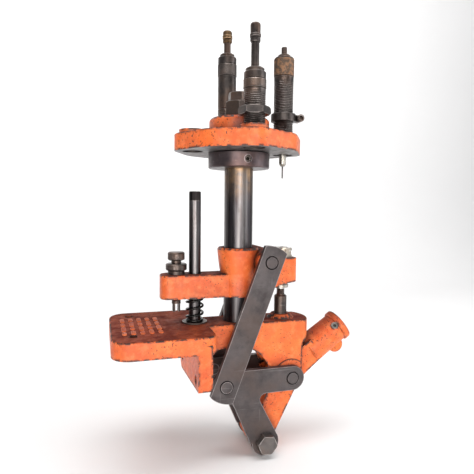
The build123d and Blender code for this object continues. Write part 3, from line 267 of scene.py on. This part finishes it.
def bar_steel(name, dark, light, rust, roughness=(0.36, 0.62), edge=0.8, metallic=0.85, patch=0.55,
              patch_scale=24):
    """Plain steel gone brown: mottling, fine crossed scratches and brighter worn edges."""
    t = Tree(name)
    colour = t.mix(t.span(t.noise(48, 6, roughness=0.65), 0.34, 0.68), dark, light)
    colour = t.mix(t.span(t.noise(patch_scale, 4), 0.46, 0.60, 0.0, patch), colour, rust)
    lines = t.noise(330, 3, stretch=(0.05, 1, 1), turn=(0, 0.9, 0))
    crossed = t.noise(420, 3, stretch=(1, 1, 0.04), turn=(0, 0.25, 0))
    scratches = t.math("MAXIMUM", t.span(lines, 0.66, 0.72), t.span(crossed, 0.68, 0.74))
    bright = tuple(min(1.0, 2.6 * c + 0.08) for c in light)
    colour = t.mix(t.math("MULTIPLY", scratches, 0.16), colour, bright)
    worn = t.math("MULTIPLY", t.edges(0.0009), t.span(t.noise(120, 3), 0.3, 0.55, 0.3, edge))
    colour = t.mix(worn, colour, bright)
    # painted shade: corners and recesses darkened towards black
    painted_steel_corner_shade = t.math("MULTIPLY", t.crevice_shade(0.006), 0.75)
    colour = t.mix(painted_steel_corner_shade, colour, (0.018, 0.014, 0.012))
    rough = t.span(t.noise(160, 4), 0.3, 0.7, *roughness)
    t.bump((t.noise(520, 4), 0.16, 0.0003), (scratches, -0.15, 0.0001))
    return t.finish(colour, rough, metallic)


def studio_paper():
    """Matt off-white paper."""
    t = Tree("studio_paper")
    colour = t.mix(t.noise(3, 3), (0.80, 0.795, 0.79), (0.84, 0.835, 0.83))
    t.bump((t.noise(240, 3), 0.05, 0.0005))
    return t.finish(colour, 0.85, 0.0)


ENAMEL = worn_enamel()
TURRET_ENAMEL = worn_enamel("turret_enamel", bare_below=True, corner_shade_reach=0.024)
LEVER_ENAMEL = worn_enamel("lever_enamel", lips=0.0)
RAISED_ENAMEL = worn_enamel("raised_enamel", top_shade_most=0.40, wear=0.0, corner_shade_reach=0.0012)
SHAFT = ground_shaft()
ROD = ground_shaft("guide_rod_steel", dark_above=0.1512)
LINK = bar_steel("browned_bar", (0.050, 0.042, 0.042), (0.108, 0.094, 0.094), (0.080, 0.052, 0.042), metallic=0.7)
OXIDE = bar_steel("black_oxide", (0.034, 0.029, 0.028), (0.105, 0.088, 0.080), (0.115, 0.064, 0.042), (0.26, 0.48))
BAND = bar_steel("knurl_band", (0.045, 0.037, 0.034), (0.125, 0.104, 0.094), (0.150, 0.082, 0.050), (0.34, 0.55))
COLLAR = bar_steel("turned_collar", (0.050, 0.037, 0.040), (0.105, 0.082, 0.085), (0.105, 0.050, 0.036), (0.26, 0.48))
BRIGHT = bar_steel("bright_steel", (0.24, 0.22, 0.19), (0.50, 0.47, 0.42), (0.28, 0.19, 0.11), (0.22, 0.42))
RUSTY = bar_steel("rusty_oxide", (0.035, 0.024, 0.018), (0.095, 0.058, 0.036), (0.25, 0.120, 0.055), (0.44, 0.70),
                  metallic=0.35, patch=0.9, patch_scale=260)
SPRING = bar_steel("spring_wire", (0.012, 0.012, 0.012), (0.045, 0.043, 0.042), (0.030, 0.022, 0.018), (0.16, 0.32))
BRASS = bar_steel("tarnished_brass", (0.075, 0.045, 0.022), (0.25, 0.150, 0.072), (0.055, 0.034, 0.022), (0.32, 0.52))
BOLT = bar_steel("plain_bolt", (0.105, 0.094, 0.090), (0.235, 0.215, 0.205), (0.115, 0.062, 0.040), (0.28, 0.50))
FINISHES = {"orange_paint": ENAMEL, "polished_steel": SHAFT, "link_steel": LINK, "black_oxide": OXIDE,
            "collar_steel": COLLAR, "bright_steel": BRIGHT, "spring_steel": SPRING, "brass_knob": BRASS,
            "bolt_steel": BOLT}
SLOT_OF = {row["node"]: row["material_slot"] for row in frame["record"]["subparts"]}


# ---- mesh helpers -----------------------------------------------------------------------------------
def new_object(name, verts, faces, smooth_below=35):
    """Linked mesh object, shaded smooth below an angle in degrees."""
    mesh = bpy.data.meshes.new(name)
    mesh.from_pydata(verts, [], faces)
    mesh.validate()
    obj = bpy.data.objects.new(name, mesh)
    bpy.context.scene.collection.objects.link(obj)
    mesh.shade_smooth()
    mesh.set_sharp_from_angle(angle=math.radians(smooth_below))
    return obj


def settle(obj, body, node, material=None):
    """Finish a detailed piece: its material, its slot, the node it stands for and the body it rides on."""
    slot = SLOT_OF[node]
    obj.data.materials.clear()
    obj.data.materials.append(material or FINISHES[slot])
    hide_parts(node)
    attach(obj, body)
    return obj


def rings(sections):
    """Rings (radius, height, relief, depth) for a lathe, closely spaced where a section has relief."""
    out = []
    for r0, z0, r1, z1, relief, depth in sections:
        pitch = {"thread": DIE_PITCH, "fine": SCREW_PITCH, "knurl": KNURL_PITCH}.get(relief)
        steps = max(1, round(abs(z1 - z0) / (pitch / 6))) if pitch else 1
        for i in range(steps + 1):
            f = i / steps
            fade = min(1.0, 8 * min(f, 1 - f)) if pitch else 0.0
            out.append((r0 + (r1 - r0) * f, z0 + (z1 - z0) * f, relief, depth * fade))
    return out


def relief_at(relief, turn, height, radius):
    """How far below the outer radius the surface lies, from 0 to 1."""
    if relief in ("thread", "fine"):
        pitch = DIE_PITCH if relief == "thread" else SCREW_PITCH
        f = (height / pitch - turn / TAU) % 1.0
        return abs(2 * f - 1)
    if relief == "knurl":
        count = max(12, round(TAU * radius / KNURL_PITCH))
        a = math.sin(count * turn / 2 + math.pi * height / KNURL_PITCH)
        b = math.sin(count * turn / 2 - math.pi * height / KNURL_PITCH)
        return 1 - abs(a * b)
    return 0.0


def lathe(name, sections, x, y, steps=LATHE_STEPS, closed=True):
    """Turned solid about the vertical line at x, y. A closed one joins its last ring to its first."""
    made = rings(sections)
    verts = []
    for radius, height, relief, depth in made:
        for i in range(steps):
            turn = TAU * i / steps
            r = radius - depth * relief_at(relief, turn, height, radius)
            verts.append((x + r * math.cos(turn), y + r * math.sin(turn), height))
    faces = []
    last = len(made) if closed else len(made) - 1
    for j in range(last):
        k = (j + 1) % len(made)
        for i in range(steps):
            n = (i + 1) % steps
            faces.append((j * steps + i, j * steps + n, k * steps + n, k * steps + i))
    if not closed:
        faces.append(tuple(reversed(range(steps))))
        faces.append(tuple((len(made) - 1) * steps + i for i in range(steps)))
    return new_object(name, verts, faces)


def plain(*points):
    """Sections through (radius, height) points with no relief."""
    return [(r0, z0, r1, z1, None, 0.0) for (r0, z0), (r1, z1) in zip(points, points[1:])]


def cut_with(obj, *cutters):
    """Subtract closed meshes and keep the result as a plain mesh."""
    for cutter in cutters:
        change = obj.modifiers.new("cut", "BOOLEAN")
        change.object = cutter
        change.operation = "DIFFERENCE"
        change.solver = "EXACT"
    bpy.context.view_layer.update()
    done = bpy.data.meshes.new_from_object(obj.evaluated_get(bpy.context.evaluated_depsgraph_get()))
    obj.modifiers.clear()
    obj.data = done
    for cutter in cutters:
        bpy.data.objects.remove(cutter)
    done.shade_smooth()
    done.set_sharp_from_angle(angle=math.radians(35))


def block(name, low, high):
    """Box between two corners."""
    corners = [(x, y, z) for z in (low[2], high[2]) for y in (low[1], high[1]) for x in (low[0], high[0])]
    faces = [(0, 2, 3, 1), (4, 5, 7, 6), (0, 1, 5, 4), (1, 3, 7, 5), (3, 2, 6, 7), (2, 0, 4, 6)]
    return new_object(name, corners, faces)


def node_axis(node):
    """Axis x and y, foot, top and radius of an upright round CAD node."""
    low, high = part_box(node)
    return (low.x + high.x) / 2, (low.y + high.y) / 2, low.z, high.z, (high.x - low.x) / 2


# ---- threaded dies ----------------------------------------------------------------------------------
def die(prefix, thread_top, knurl_low, knurl_high):
    """Die body with its real thread and knurled band, and the cavity left open underneath."""
    node = f"{prefix}_die_body"
    x, y, bottom, top, outer = node_axis(node)
    r = outer - 0.35 * MM
    cavity, bore, roof = DIE_CAVITY_R, DIE_STEM_BORE_R, DIE_CAVITY_TOP
    parts = plain((cavity, bottom + 0.6 * MM), (cavity + 0.6 * MM, bottom), (r - 1 * MM, bottom),
                  (r, bottom + 1 * MM))
    parts += [(r, bottom + 1 * MM, r, thread_top - 1.2 * MM, "thread", DIE_THREAD_DEPTH)]
    parts += plain((r - 0.5 * MM, thread_top - 0.9 * MM), (r - 0.5 * MM, thread_top))
    if knurl_low > thread_top + 1 * MM:
        parts += plain((r - 0.12 * MM, thread_top + 0.5 * MM), (r - 0.12 * MM, knurl_low - 0.6 * MM),
                       (r - 0.6 * MM, knurl_low - 0.4 * MM), (r - 0.6 * MM, knurl_low))
    parts += [(outer, knurl_low + 0.4 * MM, outer, knurl_high - 0.4 * MM, "knurl", KNURL_DEPTH)]
    parts += plain((r - 0.6 * MM, knurl_high), (r - 0.6 * MM, knurl_high + 0.3 * MM),
                   (r - 0.1 * MM, min(knurl_high + 0.7 * MM, top - 1.2 * MM)), (r - 0.1 * MM, top - 1 * MM),
                   (r - 1.1 * MM, top), (bore, top), (bore, roof + 3 * MM), (cavity, roof))
    obj = lathe(f"{prefix}_threaded_die", parts, x, y)
    settle(obj, "turret", node)
    obj.data.materials.append(RUSTY if prefix == "right" else BAND)
    for face in obj.data.polygons:
        if knurl_low < face.center.z < knurl_high and (face.center.xy - Vector((x, y))).length > r - 2 * MM:
            face.material_index = 1
    return obj


for prefix, heights in DIE_BANDS.items():
    die(prefix, *(height * MM for height in heights))


def stem_knob(prefix, waist):
    """Thumb knob with a beaded foot, a knurled middle and a domed top."""
    node = f"{prefix}_stem_knob"
    x, y, low, high, r = node_axis(node)
    parts = plain((0.2 * MM, low), (4.6 * MM, low), (r - 0.5 * MM, low + 1.2 * MM), (r - 0.5 * MM, low + 3.6 * MM),
                  (r - 1.1 * MM, low + 4.3 * MM))
    parts += [(r, low + 5.2 * MM, r, waist, "knurl", KNURL_DEPTH)]
    parts += plain((r - 0.6 * MM, waist + 0.7 * MM), (r - 0.5 * MM, high - 2.6 * MM),
                   (r - 0.9 * MM, high - 1.5 * MM), (r - 1.7 * MM, high - 0.7 * MM),
                   (r - 3.4 * MM, high), (0.2 * MM, high))
    obj = lathe(f"{prefix}_knurled_knob", parts, x, y, 72, closed=False)
    return settle(obj, f"{prefix}_stem", node)


for prefix, waist in KNOB_WAISTS.items():
    stem_knob(prefix, waist * MM)


# ---- thumb screw, its ring, the post and the spring ----------------------------------------------------
def thumb_screw():
    """Knurled screw with a fine thread and a forked foot."""
    node = "thumb_screw"
    x, y, low, high, head_r = node_axis(node)
    shank, neck, head_low = 4.9 * MM, 5.3 * MM, 87.2 * MM
    thread_high = 83.4 * MM
    parts = plain((0.2 * MM, low), (shank - 0.4 * MM, low), (shank, low + 0.4 * MM), (shank, low + 9 * MM))
    parts += [(shank, low + 9.4 * MM, shank, thread_high, "fine", SCREW_THREAD_DEPTH)]
    parts += plain((neck, thread_high + 0.5 * MM), (neck, head_low), (head_r - 1.2 * MM, head_low))
    parts += [(head_r, head_low + 1.2 * MM, head_r, high - 1.2 * MM, "knurl", KNURL_DEPTH)]
    parts += plain((head_r - 1.2 * MM, high), (0.2 * MM, high))
    obj = lathe("knurled_thumb_screw", parts, x, y, closed=False)
    top = low + 8.5 * MM
    below = low - 1 * MM
    wide = 12 * MM
    slot = block("slot_cutter", (x - 1.7 * MM, y - wide, below), (x + 1.7 * MM, y + wide, top))
    left = block("left_cutter", (x - wide, y - wide, below), (x - 3.8 * MM, y + wide, top))
    right = block("right_cutter", (x + 3.8 * MM, y - wide, below), (x + wide, y + wide, top))
    cut_with(obj, slot, left, right)
    return settle(obj, "thumb_screw", node)


def lock_ring():
    """Knurled ring that locks the thumb screw."""
    node = "screw_lock_ring"
    x, y, low, high, r = node_axis(node)
    bore, seat, seat_top = 4.95 * MM, 9 * MM, low + 4.5 * MM
    parts = plain((bore, low), (seat, low), (seat, seat_top - 0.8 * MM), (r - 1 * MM, seat_top))
    parts += [(r, seat_top + 1 * MM, r, high - 1 * MM, "knurl", KNURL_DEPTH)]
    parts += plain((r - 1 * MM, high), (bore, high))
    return settle(lathe("knurled_lock_ring", parts, x, y), "carrier", node)


def post():
    """Stepped punch post with a threaded tip."""
    node = "punch_post"
    x, y, low, high, r = node_axis(node)
    foot, seat, shoulder, tip = 5.6 * MM, 22.5 * MM, 44.2 * MM, 4.7 * MM
    parts = plain((0.2 * MM, low), (foot, low), (foot, seat), (r, seat), (r, shoulder - 1.6 * MM),
                  (r - 1.6 * MM, shoulder), (tip, shoulder))
    parts += [(tip, shoulder + 0.3 * MM, tip, high - 0.8 * MM, "fine", SCREW_THREAD_DEPTH)]
    parts += plain((tip - 0.8 * MM, high), (0.2 * MM, high))
    return settle(lathe("threaded_post", parts, x, y, closed=False), "base", node)


def spring():
    """Compression spring whose last turn at each end lies flat."""
    node = "bumper_spring"
    x, y, low, high, outer = node_axis(node)
    wire, turns, sides = SPRING_WIRE_R, SPRING_TURNS, 20
    mean = outer - wire
    bottom, top = low + wire, high - wire
    count = int((turns + 2) * 40)
    verts, faces = [], []
    for i in range(count + 1):
        t = -1 + (turns + 2) * i / count
        f = min(1.0, max(0.0, t / turns))
        height = bottom + (top - bottom) * f
        turn = TAU * t
        sink = 0.0 if 0 <= t <= turns else 0.55 * wire
        radial = Vector((math.cos(turn), math.sin(turn), 0))
        middle = Vector((x, y, height)) + radial * (mean - sink)
        for k in range(sides):
            a = TAU * k / sides
            verts.append(tuple(middle + radial * (wire * math.cos(a)) + Vector((0, 0, wire * math.sin(a)))))
    for i in range(count):
        for k in range(sides):
            n = (k + 1) % sides
            faces.append((i * sides + k, i * sides + n, (i + 1) * sides + n, (i + 1) * sides + k))
    faces.append(tuple(reversed(range(sides))))
    faces.append(tuple(count * sides + k for k in range(sides)))
    return settle(new_object("coiled_spring", verts, faces), "base", node)


def clamp_screw():
    """Knurled screw head lying along Y against the split ring's lug."""
    node = "ring_clamp_screw"
    low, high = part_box(node)
    x, z, r = (low.x + high.x) / 2, (low.z + high.z) / 2, (high.x - low.x) / 2
    length = high.y - low.y
    parts = plain((0.2 * MM, 0), (r - 0.7 * MM, 0))
    parts += [(r, 0.7 * MM, r, length - 0.7 * MM, "knurl", KNURL_DEPTH)]
    parts += plain((r - 0.7 * MM, length), (r - 1.6 * MM, length), (r - 1.8 * MM, length - 0.8 * MM),
                   (0.2 * MM, length - 0.8 * MM))
    obj = lathe("knurled_clamp_screw", parts, 0, 0, 64, closed=False)
    obj.data.transform(Matrix.Translation((x, high.y, z)) @ Matrix.Rotation(math.pi / 2, 4, "X"))
    return settle(obj, "turret", node)


thumb_screw()
lock_ring()
post()
spring()
clamp_screw()


# ---- raised cast panel on the bench plate ---------------------------------------------------------------
def raised_bar(index, x, y, long, wide, lift, top):
    """Low cast bar with rounded ends and a crowned top; a generic relief with no lettering."""
    outline = []
    r = wide / 2
    for end in (1, -1):
        for i in range(9):
            a = math.pi * i / 8 + (0 if end > 0 else math.pi)
            outline.append((x + r * math.cos(a), y + end * (long / 2 - r) + r * math.sin(a)))
    levels = ((1.0, -0.5 * MM), (1.0, lift * 0.45), (0.82, lift * 0.85), (0.5, lift))
    verts = []
    for shrink, rise in levels:
        for px, py in outline:
            verts.append((x + (px - x) * shrink, y + (py - y) * (1 - (1 - shrink) * r / (long / 2)), top + rise))
    n = len(outline)
    faces = [tuple(reversed(range(n))), tuple(3 * n + i for i in range(n))]
    for level in range(3):
        for i in range(n):
            k = (i + 1) % n
            faces.append((level * n + i, level * n + k, (level + 1) * n + k, (level + 1) * n + i))
    obj = new_object(f"cast_bar_{index:02d}", verts, faces, 50)
    obj.data.materials.append(RAISED_ENAMEL)
    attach(obj, "base")


bar = 0
for row, row_x in enumerate(PANEL_ROWS):
    cursor = PANEL_START
    for length in BAR_LENGTHS[row % 2]:
        raised_bar(bar, COLUMN_X + row_x * MM, (cursor + length / 2) * MM, length * MM,
                   BAR_WIDTH, BAR_LIFT, PLATE_TOP)
        cursor += length + BAR_SPACE
        bar += 1


# ---- finishes on the CAD nodes ---------------------------------------------------------------------------
OWN_FINISH = {"turret_head": TURRET_ENAMEL, "lever_casting": LEVER_ENAMEL, "guide_rod": ROD,
              "socket_set_screw": BRIGHT, "knockout_pin": LINK}


for name, obj in frame["nodes"].items():
    material = OWN_FINISH.get(name, FINISHES[SLOT_OF[name]])
    if obj.data.materials:
        for i in range(len(obj.data.materials)):
            obj.material_slots[i].material = material
    else:
        obj.data.materials.append(material)


# ---- studio ------------------------------------------------------------------------------------------
def sweep():
    """Pale paper that lies flat under the part and curves up behind it."""
    floor = CAD_BOX[0][2] - 0.4 * MM
    near, far, radius, height, half = -2.6, 0.75, 0.55, 3.2, 3.4
    profile = [(near, floor), (far, floor)]
    profile += [(far + radius * math.sin(a), floor + radius * (1 - math.cos(a)))
                for a in (math.pi / 2 * i / 16 for i in range(1, 17))]
    profile.append((far + radius, height))
    verts = [(x, y, z) for y, z in profile for x in (-half, half)]
    faces = [(2 * i, 2 * i + 1, 2 * i + 3, 2 * i + 2) for i in range(len(profile) - 1)]
    obj = new_object("studio_sweep", verts, faces, 60)
    obj.data.materials.append(studio_paper())


def panel(name, place, target, size, power, colour=(1, 1, 1)):
    """Rectangular area light aimed at a point."""
    light = bpy.data.lights.new(name, "AREA")
    light.shape = "RECTANGLE"
    light.size, light.size_y = size
    light.energy = power
    light.color = colour
    obj = bpy.data.objects.new(name, light)
    bpy.context.scene.collection.objects.link(obj)
    obj.location = place
    obj.rotation_euler = (Vector(target) - Vector(place)).to_track_quat("-Z", "Y").to_euler()


def sky():
    """Dim overhead, so that top faces stay dark, and brighter round the horizon."""
    world = bpy.data.worlds.new("studio")
    bpy.context.scene.world = world
    world.use_nodes = True
    nodes, links = world.node_tree.nodes, world.node_tree.links
    shade = nodes["Background"]
    place = nodes.new("ShaderNodeTexCoord")
    split = nodes.new("ShaderNodeSeparateXYZ")
    ramp = nodes.new("ShaderNodeValToRGB")
    links.new(place.outputs["Generated"], split.inputs[0])
    links.new(split.outputs["Z"], ramp.inputs[0])
    links.new(ramp.outputs[0], shade.inputs["Color"])
    ramp.color_ramp.elements[0].position = 0.05
    ramp.color_ramp.elements[0].color = (0.78, 0.79, 0.82, 1)
    ramp.color_ramp.elements[1].position = 0.55
    ramp.color_ramp.elements[1].color = (0.20, 0.205, 0.22, 1)
    shade.inputs["Strength"].default_value = 0.62


sweep()
sky()
panel("key_low_front", (-0.25, -1.30, 0.02), (0.09, 0, 0.06), (1.3, 0.7), 25, (1.0, 0.985, 0.96))
panel("fill_right", (1.25, -0.55, 0.35), (0.1, 0, 0.08), (0.9, 1.2), 9, (0.97, 0.985, 1.0))
panel("wash_backdrop", (0.1, -0.2, 1.9), (0.2, 1.2, 0.4), (2.2, 1.0), 44)

forward = Vector((math.sin(CAMERA_TURN) * math.cos(CAMERA_DIP), math.cos(CAMERA_TURN) * math.cos(CAMERA_DIP),
                  -math.sin(CAMERA_DIP)))
level = Vector((math.cos(CAMERA_TURN), -math.sin(CAMERA_TURN), 0))
up = level.cross(forward)
right = level * math.cos(CAMERA_ROLL) + up * math.sin(CAMERA_ROLL)
up = right.cross(forward)
data = bpy.data.cameras.new("photo_view")
data.sensor_width = 36.0
data.lens = CAMERA_LENS
camera = bpy.data.objects.new("photo_view", data)
bpy.context.scene.collection.objects.link(camera)
turn = Matrix((right, up, -forward)).transposed()
camera.matrix_world = Matrix.Translation(CAMERA_PLACE) @ turn.to_4x4()
bpy.context.scene.camera = camera
bpy.context.scene.view_settings.view_transform = "Standard"
